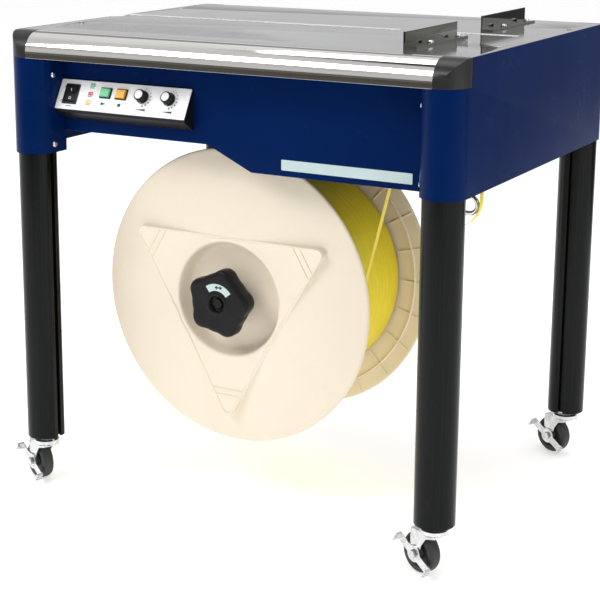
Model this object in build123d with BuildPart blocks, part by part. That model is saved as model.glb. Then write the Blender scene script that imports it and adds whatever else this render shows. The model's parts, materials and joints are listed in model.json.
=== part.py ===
from build123d import *

import os
from math import atan2, cos, radians, sin

# Semi automatic strapping machine: a table on four legs with casters, a strap reel slung
# under it, a control box at the front and the strapping mechanism between the two.
# Units are millimetres. +X runs along the front to the right, +Y to the back, +Z up.
# The origin is on the floor, at the centre of the footprint with the casters as parked.

# ---------------------------------------------------------------- driving dimensions
table_height = 760.0
body_length = 776.0
body_depth = 630.0
corner_radius = 34.0
nose_height = 41.0
cap_width = 41.0
cover_bottom = 566.0
sheet = 1.6
gap = 0.4

leg_radius = 30.5
leg_flat = 28.0
leg_bore = 18.0
leg_bottom = 84.0

wheel_radius = 31.5
wheel_width = 22.0
caster_trail = 24.0
caster_heading = 158.0
ear_reach = 37.0
ear_angle = 30.0
pad_depth = 12.0

panel_y = 252.0
slot_y = 15.0
slot_width = 14.0
plate_thickness = 4.0
stopper_x = 262.0
stopper_length = 185.0
stopper_height = 23.5

control_left = -319.0
control_width = 245.0
control_height = 50.0

reel_x = -41.0
reel_z = 345.0
reel_front_y = -190.0
reel_rear_y = 38.0
flange_radius = 239.0
roll_radius = 181.0
core_radius = 101.0
spindle_radius = 12.5

base_z = 635.0
strap_y = -115.0
strap_width = 12.0
strap_thickness = 0.8

# ---------------------------------------------------------------- derived dimensions
leg_x = body_length / 2 - corner_radius
leg_y = body_depth / 2 - corner_radius
nose_bottom = table_height - nose_height
cover_inside = body_length / 2 - sheet
flange_x = leg_x - corner_radius + sheet
heading = Vector(cos(radians(caster_heading)), sin(radians(caster_heading)), 0)
across = Vector(heading.Y, -heading.X, 0)
fork_inner = wheel_width / 2 + 1.2
fork_plate = 2.5
lever_face = -(fork_inner + fork_plate + gap)
pad_tip = caster_trail + (ear_reach + 1.6) * cos(radians(ear_angle))
caster_reach = leg_x - (pad_tip * heading.X + (lever_face - pad_depth) * across.X)
body_x = (caster_reach - body_length / 2) / 2
corners = {
    "front_left": (-1, -1),
    "front_right": (1, -1),
    "rear_left": (-1, 1),
    "rear_right": (1, 1),
}

os.makedirs("parts", exist_ok=True)


def write(piece, name):
    """Label a finished piece and write it as its own STEP file."""
    piece.part.label = name
    export_step(piece.part, f"parts/{name}.step")


def level(z):
    """A horizontal plane at height z, centred on the body."""
    return Plane((body_x, 0, z))


def facing_front(y):
    """An upright plane across the body at depth y, its normal towards the front."""
    return Plane((body_x, y, 0), x_dir=(1, 0, 0), z_dir=(0, -1, 0))


def facing_right(x):
    """An upright plane along the body's depth at x, its normal to the right."""
    return Plane((body_x + x, 0, 0), x_dir=(0, 1, 0), z_dir=(1, 0, 0))


def reel_plane(y):
    """An upright plane centred on the reel's axis, its normal towards the front."""
    return Plane((body_x + reel_x, y, reel_z), x_dir=(1, 0, 0), z_dir=(0, -1, 0))


def group(name, pieces):
    """Write several separate solids as one node."""
    with BuildPart() as whole:
        for piece in pieces:
            add(piece)
    write(whole, name)


# ---------------------------------------------------------------- legs
def leg_section(side, end):
    """A round extrusion with a flat and a T slot towards each neighbouring leg."""
    with BuildSketch() as section:
        Circle(leg_radius)
        for angle in (0 if side < 0 else 180, 90 if end < 0 else 270):
            for reach, depth, width in ((leg_flat + 5, 10, 61), (leg_flat - 2, 5, 8), (leg_flat - 5.5, 4, 14)):
                with Locations(Location((reach * cos(radians(angle)), reach * sin(radians(angle))), angle)):
                    Rectangle(depth, width, mode=Mode.SUBTRACT)
        Circle(leg_bore, mode=Mode.SUBTRACT)
    return section.sketch


def make_legs():
    for name, (side, end) in corners.items():
        with BuildPart() as leg:
            with BuildSketch(level(leg_bottom)):
                with Locations((side * leg_x, end * leg_y)):
                    add(leg_section(side, end))
            extrude(amount=nose_bottom - leg_bottom)
        write(leg, f"leg_{name}")


def make_leg_end_plugs():
    with BuildPart() as plugs:
        with BuildSketch(level(leg_bottom)):
            with GridLocations(2 * leg_x, 2 * leg_y, 2, 2):
                Circle(leg_bore - gap / 2)
                Circle(6.2, mode=Mode.SUBTRACT)
        extrude(amount=22)
    write(plugs, "leg_end_plugs")


# ---------------------------------------------------------------- casters
stem_radius = 6.0
crown_top = 79.0
crown_bottom = 66.5
axle_radius = 4.0
axle_half = 21.5
nut_height = 3.6


def caster_stem(side, end):
    """Fixed stem with its collar and upper race, and the retaining head below the fork."""
    centre = Vector(body_x + side * leg_x, end * leg_y, 0)
    with BuildPart() as stem:
        with BuildSketch(Plane(centre, x_dir=(1, 0, 0), z_dir=(0, -1, 0))):
            with BuildLine():
                Polyline(
                    (0, 62.4), (8.5, 62.4), (9, 63), (9, crown_bottom - gap),
                    (stem_radius, crown_bottom - gap), (stem_radius, crown_top + gap),
                    (14, crown_top + gap), (14, 81.2), (17.5, 81.2), (17.5, leg_bottom),
                    (stem_radius, leg_bottom), (stem_radius, 124), (0, 124), (0, 62.4),
                )
            make_face()
        revolve(axis=Axis(centre, (0, 0, 1)))
    return stem.part


def caster_side(side, end, offset):
    """The wheel's side plane: local x trails, local y is up, offset runs along the axle."""
    origin = Vector(body_x + side * leg_x, end * leg_y, 0) + across * offset
    return Plane(origin, x_dir=heading, z_dir=across)


def make_fork(name, side, end):
    """Ball race crown with two pressed arms, and the axle bolt that crosses them."""
    centre = Vector(body_x + side * leg_x, end * leg_y, 0)
    bore = stem_radius + gap / 2
    with BuildPart() as fork:
        with BuildSketch(caster_side(side, end, 0)):
            with BuildLine():
                Polyline(
                    (bore, crown_bottom), (16, crown_bottom), (21.5, 71), (21.5, 76.5),
                    (19, crown_top), (bore, crown_top), (bore, crown_bottom),
                )
            make_face()
        revolve(axis=Axis(centre, (0, 0, 1)))
        with BuildSketch(Plane(centre + Vector(0, 0, crown_bottom), x_dir=heading, z_dir=(0, 0, 1))):
            with Locations((9, 0)):
                Rectangle(50, 2 * (fork_inner + fork_plate))
            Circle(stem_radius + 5, mode=Mode.SUBTRACT)
        extrude(amount=3)
        for offset in (fork_inner, -fork_inner - fork_plate):
            with BuildSketch(caster_side(side, end, offset)):
                with BuildLine():
                    Polyline(
                        (-16, 69.5), (34, 69.5), (33, 31.5), (15, 31.5), (11, 48),
                        (2, 61), (-16, 66.5), (-16, 69.5),
                    )
                make_face()
                with Locations((caster_trail, wheel_radius)):
                    Circle(9)
                    Circle(axle_radius + 0.1, mode=Mode.SUBTRACT)
            extrude(amount=fork_plate)
    with BuildPart() as axle:
        with BuildSketch(caster_side(side, end, -axle_half)):
            with Locations((caster_trail, wheel_radius)):
                Circle(axle_radius)
        extrude(amount=2 * axle_half - nut_height)
        for offset in (-axle_half, fork_inner + fork_plate + gap):
            with BuildSketch(caster_side(side, end, offset)):
                with Locations((caster_trail, wheel_radius)):
                    RegularPolygon(6.5, 6)
            extrude(amount=nut_height)
    group(f"caster_fork_{name}", [fork.part, axle.part])


def make_wheel(name, side, end):
    """Solid rubber wheel with a dished hub on each side."""
    axle = Vector(body_x + side * leg_x, end * leg_y, wheel_radius) + heading * caster_trail
    half = wheel_width / 2
    rim = [
        (half, axle_radius + 0.05), (half, 9), (half - 4, 11), (half - 4, 20), (half - 1, 22),
        (half - 1, 27), (half - 2.2, 29.7), (half - 4.8, 31.1), (half - 7, wheel_radius),
    ]
    with BuildPart() as wheel:
        with BuildSketch(Plane(axle, x_dir=across, z_dir=heading)):
            with BuildLine():
                Polyline(*rim, *[(-x, y) for x, y in reversed(rim)], close=True)
            make_face()
        revolve(axis=Axis(axle, across))
    write(wheel, f"caster_wheel_{name}")


def make_brake(name, side, end):
    """Stamped brake lever on the axle, with an ear at each end folded into a ribbed pad."""
    thickness = 2.0
    with BuildPart() as brake:
        with BuildSketch(caster_side(side, end, lever_face - thickness)):
            with Locations((caster_trail, wheel_radius)):
                Circle(13)
            with Locations(Location((caster_trail, wheel_radius), ear_angle)):
                Rectangle(2 * ear_reach, 13)
            with Locations((caster_trail, wheel_radius)):
                Circle(axle_radius + 0.1, mode=Mode.SUBTRACT)
        extrude(amount=thickness)
        for turn in (ear_angle, ear_angle + 180):
            pad_x = caster_trail + (ear_reach - 1) * cos(radians(turn))
            pad_z = wheel_radius + (ear_reach - 1) * sin(radians(turn))
            with BuildSketch(caster_side(side, end, lever_face - pad_depth)):
                with Locations(Location((pad_x, pad_z), turn)):
                    Rectangle(2.4, 15)
                for rib in (-5, 0, 5):
                    rib_x = pad_x + 1.2 * cos(radians(turn)) - rib * sin(radians(turn))
                    rib_z = pad_z + 1.2 * sin(radians(turn)) + rib * cos(radians(turn))
                    with Locations((rib_x, rib_z)):
                        Circle(1.2)
            extrude(amount=pad_depth - thickness / 2)
    write(brake, f"brake_lever_{name}")


def make_casters():
    group("caster_stems", [caster_stem(side, end) for side, end in corners.values()])
    for name, (side, end) in corners.items():
        make_fork(name, side, end)
        make_wheel(name, side, end)
        make_brake(name, side, end)


# ---------------------------------------------------------------- body shell
cover_screw_heights = (580.0, 691.0)


def make_side_cover(name, side):
    """One bent sheet: the flat side, a round wrap about each leg and an inner flange."""
    with BuildPart() as cover:
        with BuildSketch(level(cover_bottom)):
            with Locations((side * leg_x, 0)):
                SlotCenterToCenter(2 * leg_y, 2 * corner_radius, rotation=90)
                SlotCenterToCenter(2 * leg_y, 2 * (corner_radius - sheet), rotation=90, mode=Mode.SUBTRACT)
            with Locations((side * (leg_x - corner_radius), 0)):
                Rectangle(20, 2 * (panel_y - 3), mode=Mode.SUBTRACT)
        extrude(amount=table_height - cover_bottom)
        with BuildSketch(level(nose_bottom)):
            with GridLocations(body_length, body_depth, 2, 2):
                Rectangle(2 * cap_width + gap, 2 * cap_width + gap)
            Rectangle(body_length - 2 * cap_width, body_depth)
        extrude(amount=nose_height + 1, mode=Mode.SUBTRACT)
        with BuildSketch(facing_right(side * flange_x)):
            with GridLocations(2 * leg_y, 0, 2, 1):
                with Locations(*[(0, z) for z in cover_screw_heights]):
                    Circle(2.6)
        extrude(amount=4, both=True, mode=Mode.SUBTRACT)
        if side < 0:
            with BuildSketch(facing_right(-body_length / 2)):
                with Locations((slot_y - 18, table_height)):
                    Rectangle(50, 18)
            extrude(amount=3, both=True, mode=Mode.SUBTRACT)
    write(cover, f"side_cover_{name}")


panel_edge = leg_x - corner_radius - 0.6
panel_top = table_height - plate_thickness - 3
front_outline = [
    (-panel_edge, panel_top), (panel_edge, panel_top), (panel_edge, 563), (28, 563),
    (-50, 599), (-panel_edge, 599),
]
rear_outline = [(-panel_edge, panel_top), (panel_edge, panel_top), (panel_edge, 566), (-panel_edge, 566)]


def make_panel(name, end, outline):
    """A sheet panel between the legs, with its edges folded inwards."""
    fold = 12.0
    with BuildPart() as panel:
        with BuildSketch(facing_front(end * panel_y)):
            with BuildLine():
                Polyline(*outline, close=True)
            make_face()
        extrude(amount=end * fold)
        with BuildSketch(facing_front(end * (panel_y - sheet))):
            with BuildLine():
                Polyline(*outline, close=True)
            make_face()
            offset(amount=-sheet, kind=Kind.INTERSECTION, mode=Mode.REPLACE)
        extrude(amount=end * fold, mode=Mode.SUBTRACT)
        if end > 0:
            with BuildSketch(facing_front(panel_y)):
                with Locations((gland_x, gland_z)):
                    Circle(8.2)
            extrude(amount=10, both=True, mode=Mode.SUBTRACT)
    write(panel, f"{name}_panel")


def nose_area(end, inset):
    """Section of the bullnose: a quarter round above a short upright, inset all round."""
    bend = end * leg_y
    inner = Align.MIN if end < 0 else Align.MAX
    with BuildSketch() as area:
        with Locations((bend, table_height - corner_radius)):
            Circle(corner_radius - inset)
        with Locations((bend, nose_bottom)):
            Rectangle(2 * (corner_radius - inset), nose_height - corner_radius, align=(Align.CENTER, Align.MIN))
        with Locations((bend + end * inset, nose_bottom)):
            Rectangle(100, 200, align=(inner, Align.CENTER), mode=Mode.SUBTRACT)
        with Locations((bend, nose_bottom + inset)):
            Rectangle(100, 100, align=(Align.CENTER, Align.MAX), mode=Mode.SUBTRACT)
    return area.sketch


def make_nose_bars():
    """Polished hollow bullnose bars along the front and rear edges of the table."""
    half = body_length / 2 - cap_width - gap / 2
    with BuildPart() as bars:
        with BuildSketch(facing_right(-half)):
            add(nose_area(-1, 0))
            add(nose_area(1, 0))
        extrude(amount=2 * half)
        with BuildSketch(facing_right(-half)):
            add(nose_area(-1, 2.5))
            add(nose_area(1, 2.5))
        extrude(amount=2 * half, mode=Mode.SUBTRACT)
    write(bars, "nose_bars")


def make_corner_caps():
    """Moulded caps where the bullnose meets the round columns, creased along the mitre."""
    middle = ((body_length - cap_width) / 2, (body_depth - cap_width) / 2)
    with BuildPart() as nose:
        with BuildSketch(facing_right(middle[0])):
            with Locations((-middle[1], nose_bottom + nose_height / 2)):
                Rectangle(cap_width, nose_height)
            fillet(vertices().sort_by(lambda v: v.Y - v.X)[-1], corner_radius)
        extrude(amount=cap_width / 2, both=True)
    with BuildPart() as column:
        with BuildSketch(level(nose_bottom)):
            with Locations((middle[0], -middle[1])):
                Rectangle(cap_width, cap_width)
            fillet(vertices().sort_by(lambda v: v.X - v.Y)[-1], corner_radius)
        extrude(amount=nose_height)
    with BuildPart() as caps:
        add(nose.part.solid() & column.part.solid())
        mirror(about=Plane((body_x, 0, 0), z_dir=(1, 0, 0)))
        mirror(about=Plane.XZ)
    write(caps, "corner_caps")


# ---------------------------------------------------------------- table
table_screws = [(side * 370, y) for side in (-1, 1) for y in (slot_y - 150, slot_y + 150)]
stopper_ends = (slot_y - 50 - stopper_length, slot_y + 50)
stopper_screws = [(stopper_x + 11, y + along) for y in stopper_ends for along in (62, 165)]
closed_span = (142.0, 196.0)
slot_right = 340.0


def make_table_plate(name, end):
    """Half of the table top: the strap slot runs between the two halves."""
    near = slot_y + end * gap / 2
    far = end * (leg_y - gap)
    with BuildPart() as plate:
        with BuildSketch(level(table_height - plate_thickness)):
            with Locations((0, (near + far) / 2)):
                Rectangle(2 * (cover_inside - gap / 2), abs(far - near))
            with GridLocations(body_length, body_depth, 2, 2):
                Rectangle(2 * (cap_width + gap / 2), 2 * (cap_width + gap / 2), mode=Mode.SUBTRACT)
            for left, right in ((-body_length / 2, closed_span[0]), (closed_span[1], slot_right)):
                with Locations(((left + right) / 2, slot_y)):
                    Rectangle(right - left, slot_width, mode=Mode.SUBTRACT)
            if end < 0:
                with Locations(Location((-cover_inside, near - slot_width / 2), 45)):
                    Rectangle(46, 46, mode=Mode.SUBTRACT)
        extrude(amount=plate_thickness)
        with Locations(*[Location((body_x + x, y, table_height)) for x, y in table_screws if end * (y - slot_y) > 0]):
            CounterSinkHole(2.6, 5.2)
        with Locations(*[Location((body_x + x, y, table_height)) for x, y in stopper_screws if end * (y - slot_y) > 0]):
            Hole(2.6)
    write(plate, f"table_plate_{name}")


def make_strap_chute():
    """Bright channel under the slot that carries the strap back to the sealing head."""
    wall = 1.5
    outer = slot_width - gap
    with BuildPart() as chute:
        for left, right in ((-cover_inside + 2, closed_span[0] - gap), (closed_span[1] + gap, slot_right - gap)):
            with BuildSketch(level(table_height - 22)):
                with Locations(((left + right) / 2, slot_y)):
                    Rectangle(right - left, outer)
            extrude(amount=21.4)
            with BuildSketch(level(table_height - 22 + wall)):
                with Locations(((left + right) / 2, slot_y)):
                    Rectangle(right - left, outer - 2 * wall)
            extrude(amount=22, mode=Mode.SUBTRACT)
    write(chute, "strap_chute")


def make_stopper(name, y):
    """Polished angle screwed to the table, against which the package is pushed."""
    with BuildPart() as stopper:
        with BuildSketch(facing_front(y)):
            with Locations((stopper_x, table_height)):
                Rectangle(3, stopper_height, align=(Align.MAX, Align.MIN))
                Rectangle(18, 3, align=(Align.MIN, Align.MIN))
                Rectangle(3, 3, align=(Align.MAX, Align.MIN))
        extrude(amount=-stopper_length)
        holes = [Location((body_x + sx, sy, table_height + 3)) for sx, sy in stopper_screws if y < sy < y + stopper_length]
        with Locations(*holes):
            Hole(2.6)
    write(stopper, f"stopper_{name}")


def screw(centre, direction, countersunk=False):
    """A machine screw whose head seats at centre and whose thread runs along direction."""
    seat = Plane(centre, z_dir=direction)
    with BuildPart() as body:
        with BuildSketch(seat):
            Circle(2.5)
        extrude(amount=10)
        if countersunk:
            with BuildSketch(seat):
                Circle(5.0)
            with BuildSketch(seat.offset(2.5)):
                Circle(2.5)
            loft()
        else:
            with BuildSketch(seat):
                Circle(5.0)
            extrude(amount=-2.2)
            with BuildSketch(seat.offset(-2.2)):
                Circle(5.0)
            with BuildSketch(seat.offset(-3.8)):
                Circle(2.8)
            loft()
    return body.part


def make_screws():
    screws = []
    for side, end in corners.values():
        for z in cover_screw_heights:
            head = Vector(body_x + side * (flange_x - sheet), end * leg_y, z)
            screws.append(screw(head, (side, 0, 0)))
    for x, y in stopper_screws:
        screws.append(screw(Vector(body_x + x, y, table_height + 3), (0, 0, -1)))
    for x, y in table_screws:
        screws.append(screw(Vector(body_x + x, y, table_height - 0.1), (0, 0, -1), countersunk=True))
    group("machine_screws", screws)


# ---------------------------------------------------------------- inner frame
rail_width = 25.0
rail_height = 40.0
rail_x = 368.0
rail_y = 226.0
base_thickness = 5.0


def make_frame_rails():
    """Square tubes that tie the legs together and carry the mechanism's base plate."""
    wall = 2.0
    rail_top = base_z - base_thickness
    between_legs = leg_y - leg_flat - gap
    between_covers = rail_x + rail_width / 2 - gap
    tubes = [(facing_front(between_legs), (side * rail_x, rail_top - rail_height / 2), between_legs) for side in (-1, 1)]
    tubes += [(facing_right(-between_covers), (end * rail_y, rail_top + gap + rail_height / 2), between_covers)
              for end in (-1, 1)]
    rails = []
    for plane, centre, half in tubes:
        with BuildPart() as rail:
            with BuildSketch(plane):
                with Locations(centre):
                    Rectangle(rail_width, rail_height)
                    Rectangle(rail_width - 2 * wall, rail_height - 2 * wall, mode=Mode.SUBTRACT)
            extrude(amount=2 * half)
        rails.append(rail.part)
    group("frame_rails", rails)


head_x = 169.0
head_length = 32.0
head_depth = 26.0
guide_wall = 8.0
guide_offset = head_length / 2 + gap + guide_wall / 2
guide_height = 105.0
shaft_radius = 8.0
cam_z = base_z + 52.0
cam_lobe = 22.0
arm_y = slot_y + 75
arm_z = 744.0
arm_pin = 4.0
feed_x = 320.4
feed_z = 655.0
feed_radius = 22.0
pinch_radius = 14.0
pinch_x = feed_x + feed_radius + strap_thickness + 2 * gap + pinch_radius
feed_shaft = 5.0
feed_plate = 4.0
bracket_y = -92.0


def make_mechanism_base():
    """Base plate on the rails, with the sealing head's guide, arm post and feed bracket."""
    rail_top = base_z - base_thickness
    plate_depth = 304.0
    with BuildPart() as base:
        with BuildSketch(level(rail_top)):
            with Locations((0, bracket_y + plate_depth / 2)):
                Rectangle(2 * (rail_x - 2), plate_depth)
        extrude(amount=base_thickness)
        for side in (-1, 1):
            with BuildSketch(facing_right(head_x + side * guide_offset - guide_wall / 2)):
                with Locations((slot_y, base_z + guide_height / 2)):
                    Rectangle(40, guide_height)
                with Locations((slot_y, cam_z)):
                    Circle(shaft_radius + 0.05, mode=Mode.SUBTRACT)
            extrude(amount=guide_wall)
        with BuildSketch(facing_front(bracket_y + feed_plate)):
            with Locations(((feed_x + pinch_x) / 2 - 4, rail_top + 35)):
                Rectangle(86, 70)
            with Locations((feed_x, feed_z), (pinch_x, feed_z)):
                Circle(feed_shaft + 0.05, mode=Mode.SUBTRACT)
        extrude(amount=feed_plate)
        for height, radius in ((arm_z - gap - base_z, 7), (arm_z + 6 - base_z, arm_pin)):
            with BuildSketch(level(base_z)):
                with Locations((head_x, arm_y)):
                    Circle(radius)
            extrude(amount=height)
    write(base, "mechanism_base")


motor_y = 150.0
motor_z = base_z + 48.0
pulley_x = -92.0
motor_pulley_radius = 18.0
cam_pulley_radius = 40.0


def turned(centre, axis, stages):
    """Coaxial cylinders: each stage is (start, length, radius) along the axis."""
    with BuildPart() as body:
        for start, length, radius in stages:
            with BuildSketch(Plane(Vector(*centre) + Vector(*axis) * start, z_dir=axis)):
                Circle(radius)
            extrude(amount=length)
    return body.part


def make_drive():
    along = (1, 0, 0)
    with BuildPart() as motor:
        add(turned((body_x, motor_y, motor_z), along, [(-250, 145, 40), (-105, 6, 24), (-100, 25, 5)]))
        with BuildSketch(level(base_z)):
            with Locations((-180, motor_y)):
                Rectangle(90, 70)
        extrude(amount=12)
    write(motor, "drive_motor")
    rim = motor_pulley_radius + 2
    stages = [(pulley_x - 7, 2, rim), (pulley_x - 5, 10, motor_pulley_radius), (pulley_x + 5, 2, rim)]
    with BuildPart() as pulley:
        add(turned((body_x, motor_y, motor_z), along, stages))
        with BuildSketch(facing_right(pulley_x - 8)):
            with Locations((motor_y, motor_z)):
                Circle(5.05)
        extrude(amount=20, mode=Mode.SUBTRACT)
    write(pulley, "motor_pulley")
    stages = [
        (pulley_x - 18, head_x + guide_offset + 8 - pulley_x + 18, shaft_radius),
        (pulley_x - 5, 10, cam_pulley_radius),
        (head_x - 12, 24, 14),
    ]
    with BuildPart() as shaft:
        add(turned((body_x, slot_y, cam_z), along, stages))
        for x, length, lobe in ((100, 12, -90), (124, 12, 90), (head_x - 8, 16, 200)):
            with BuildSketch(facing_right(x)):
                with Locations((slot_y + 5 * cos(radians(lobe)), cam_z + 5 * sin(radians(lobe)))):
                    Circle(cam_lobe - 5)
            extrude(amount=length)
    write(shaft, "camshaft")
    with BuildPart() as belt:
        for grow, mode in ((2.0 + gap, Mode.ADD), (gap, Mode.SUBTRACT)):
            with BuildSketch(facing_right(pulley_x - 4)):
                with Locations((slot_y, cam_z)):
                    Circle(cam_pulley_radius + grow)
                with Locations((motor_y, motor_z)):
                    Circle(motor_pulley_radius + grow)
                make_hull()
            extrude(amount=8, mode=mode)
    write(belt, "drive_belt")


def make_sealing_head():
    """Press head that rises under the closed span of the slot, and the heater arm beside it."""
    with BuildPart() as head:
        with BuildSketch(level(cam_z + cam_lobe + 0.5)):
            with Locations((head_x, slot_y)):
                Rectangle(head_length, head_depth)
        extrude(amount=head_depth)
        chamfer(faces().sort_by(Axis.Z)[-1].edges(), 1.5)
    write(head, "press_head")
    with BuildPart() as arm:
        with BuildSketch(level(arm_z)):
            with Locations((head_x, arm_y)):
                Circle(9)
            with Locations((head_x - 14, arm_y - 23)):
                Rectangle(10, 62)
            with Locations((head_x - 7, arm_y)):
                Rectangle(20, 16)
            with Locations((head_x, arm_y)):
                Circle(arm_pin + 0.05, mode=Mode.SUBTRACT)
        extrude(amount=4)
    write(arm, "heater_arm")


def make_feed():
    """Driven feed roller and sprung pinch roller, one each side of the strap."""
    axis = (0, -1, 0)
    for name, x, radius in (("feed_roller", feed_x, feed_radius), ("pinch_roller", pinch_x, pinch_radius)):
        stages = [(-bracket_y - 6, 26, feed_shaft), (-strap_y - 8, 16, radius)]
        group(name, [turned((body_x + x, 0, feed_z), axis, stages)])
    group("feed_motor", [turned((body_x + feed_x, 0, feed_z), axis, [(-30, 114, 19.5)])])


# ---------------------------------------------------------------- control box
tilt = atan2(44.0, 24.0)
face_up = Vector(0, cos(tilt), sin(tilt))
face_out = Vector(0, -sin(tilt), cos(tilt))
face_centre = Vector(body_x + control_left + control_width / 2, -panel_y - 14.2, 659.5)
housing_wall = 2.0
face_plate = 1.6
rocker_at = (-97.0, 0.5)
lamp_at = [(-60.5, 18.0), (-60.5, 3.5), (-60.5, -10.5)]
button_at = {"feed_button": (-31.7, 6.5), "reset_button": (-1.9, 6.5)}
dial_at = {"feed_dial": (38.5, 5.0), "tension_dial": (87.5, 5.0)}
rocker_hole = (21.0, 27.4)
button_hole = (17.6, 14.6)
lamp_hole = (9.0, 5.6)


def control_plane(offset=0.0):
    """The tilted control face: local x to the right, local y up the slope."""
    return Plane(face_centre + face_out * offset, x_dir=(1, 0, 0), z_dir=face_out)


def cut_control_openings(depth):
    """Cut the holes for the switch, lamps, buttons and dial shafts through a wall."""
    with BuildSketch(control_plane(depth)) as openings:
        with Locations(rocker_at):
            Rectangle(rocker_hole[0] + 3, rocker_hole[1] + 3)
        with Locations(*button_at.values()):
            Rectangle(button_hole[0] + 2.6, button_hole[1] + 2.6)
        with Locations(*lamp_at):
            Rectangle(*lamp_hole)
        with Locations(*dial_at.values()):
            Circle(3.5)
    extrude(openings.sketch, amount=-12, mode=Mode.SUBTRACT)


def make_control_box():
    half = control_height / 2
    top = face_centre + face_up * half
    foot = face_centre - face_up * half
    left = control_left
    with BuildPart() as housing:
        with BuildSketch(facing_right(left)):
            with BuildLine():
                Polyline(
                    (-panel_y - 0.2, top.Z + 1), (top.Y, top.Z), (foot.Y, foot.Z),
                    (foot.Y + 1.5, foot.Z - 5), (-panel_y - 0.2, foot.Z - 20), close=True,
                )
            make_face()
        extrude(amount=control_width)
        with BuildSketch(facing_right(left + housing_wall)):
            with BuildLine():
                Polyline(
                    (-panel_y - 0.1, top.Z - 7), (foot.Y + 6, foot.Z - 1),
                    (foot.Y + 6, foot.Z - 5), (-panel_y - 0.1, foot.Z - 17), close=True,
                )
            make_face()
        extrude(amount=control_width - 2 * housing_wall, mode=Mode.SUBTRACT)
        cut_control_openings(0.1)
    write(housing, "control_housing")
    with BuildPart() as face:
        with BuildSketch(control_plane()):
            RectangleRounded(control_width, control_height, 1.5)
        extrude(amount=face_plate)
        cut_control_openings(face_plate + 0.1)
    write(face, "control_face")


def make_control_bezels():
    """Frames of the power switch and of the two square buttons."""
    frames = []
    for at, hole, rim in (
        (rocker_at, rocker_hole, 3.0),
        *[(spot, button_hole, 1.6) for spot in button_at.values()],
    ):
        with BuildPart() as frame:
            with BuildSketch(control_plane(face_plate)):
                with Locations(at):
                    RectangleRounded(hole[0] + 2 * rim, hole[1] + 2 * rim, 1)
            extrude(amount=1.6)
            with BuildSketch(control_plane(face_plate)):
                with Locations(at):
                    Rectangle(hole[0] + 2.2, hole[1] + 2.2)
            extrude(amount=-5)
            with BuildSketch(control_plane(-8)):
                with Locations(at):
                    Rectangle(*hole)
            extrude(amount=14, mode=Mode.SUBTRACT)
        frames.append(frame.part)
    group("control_bezels", frames)


rocker_rest = 7.0
rocker_width = 20.2


def make_controls():
    pivot = control_plane(1.0)
    with BuildPart() as rocker:
        across_face = Plane(
            pivot.origin + Vector(rocker_at[0] - rocker_width / 2, 0, 0) + face_up * rocker_at[1],
            x_dir=face_up * cos(radians(rocker_rest)) + face_out * sin(radians(rocker_rest)), z_dir=(1, 0, 0),
        )
        with BuildSketch(across_face):
            with BuildLine():
                Polyline((-12, -3), (12, -3), (12, 4.2), (0, 1.8), (-12, 4.2), close=True)
            make_face()
        extrude(amount=rocker_width)
    write(rocker, "rocker_switch")
    with BuildPart() as lamps:
        with BuildSketch(control_plane(-2)):
            with Locations(*lamp_at):
                Rectangle(lamp_hole[0] - 0.2, lamp_hole[1] - 0.2)
        extrude(amount=2 + face_plate + 0.5)
    write(lamps, "indicator_lamps")
    for name, at in button_at.items():
        with BuildPart() as button:
            with BuildSketch(control_plane(-2)):
                with Locations(at):
                    Rectangle(button_hole[0] - 0.8, button_hole[1] - 0.8)
            extrude(amount=9.0)
            chamfer(faces().sort_by(Axis((0, 0, 0), face_out))[-1].edges(), 0.8)
        write(button, name)
    for name, at in dial_at.items():
        spot = face_centre + Vector(at[0], 0, 0) + face_up * at[1]
        stages = [(-6, 9, 3.2), (face_plate + 0.5, 3, 10.5), (face_plate + 3.5, 10, 9.2)]
        with BuildPart() as dial:
            add(turned(spot, face_out, stages))
            chamfer(faces().sort_by(Axis((0, 0, 0), face_out))[-1].edges(), 0.8)
        write(dial, name)


# ---------------------------------------------------------------- reel
plateau = 18.0
shell = 3.5
dish_depth = 28.0
dish_radius = 94.0
cone_radius = 106.0
triangle_reach = 203.0
knob_front = -243.0
knob_height = 28.0
knob_turn = 78.0


def reel_depth(y, mirrored):
    """The same depth on the front flange, or mirrored about the middle of the roll."""
    return reel_front_y + reel_rear_y - y if mirrored else y


def flange_profile(mirrored):
    """Half section of a flange as (radius, depth) points: dish, rim of the dish and cone."""
    front = reel_front_y - plateau
    floor = front + dish_depth
    outline = [
        (spindle_radius + gap, floor), (82, floor), (86, floor - 3), (90.5, front + 3), (dish_radius, front),
        (cone_radius, front), (flange_radius - 7, reel_front_y), (flange_radius, reel_front_y + 0.8),
        (flange_radius, reel_front_y + shell + 2), (flange_radius - 7, reel_front_y + shell),
        (cone_radius, front + shell), (dish_radius + 1, front + shell), (93, front + shell + 1),
        (87.5, floor + 0.5), (84, floor + shell), (spindle_radius + gap, floor + shell),
    ]
    return [(radius, -reel_depth(depth, mirrored)) for radius, depth in outline]


def triangle(reach, rounding):
    """A rounded triangle pointing down, its sharp corners at the given reach."""
    with BuildSketch() as shape:
        RegularPolygon(reach, 3, rotation=-90)
        fillet(vertices(), rounding)
    return shape.sketch


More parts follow.
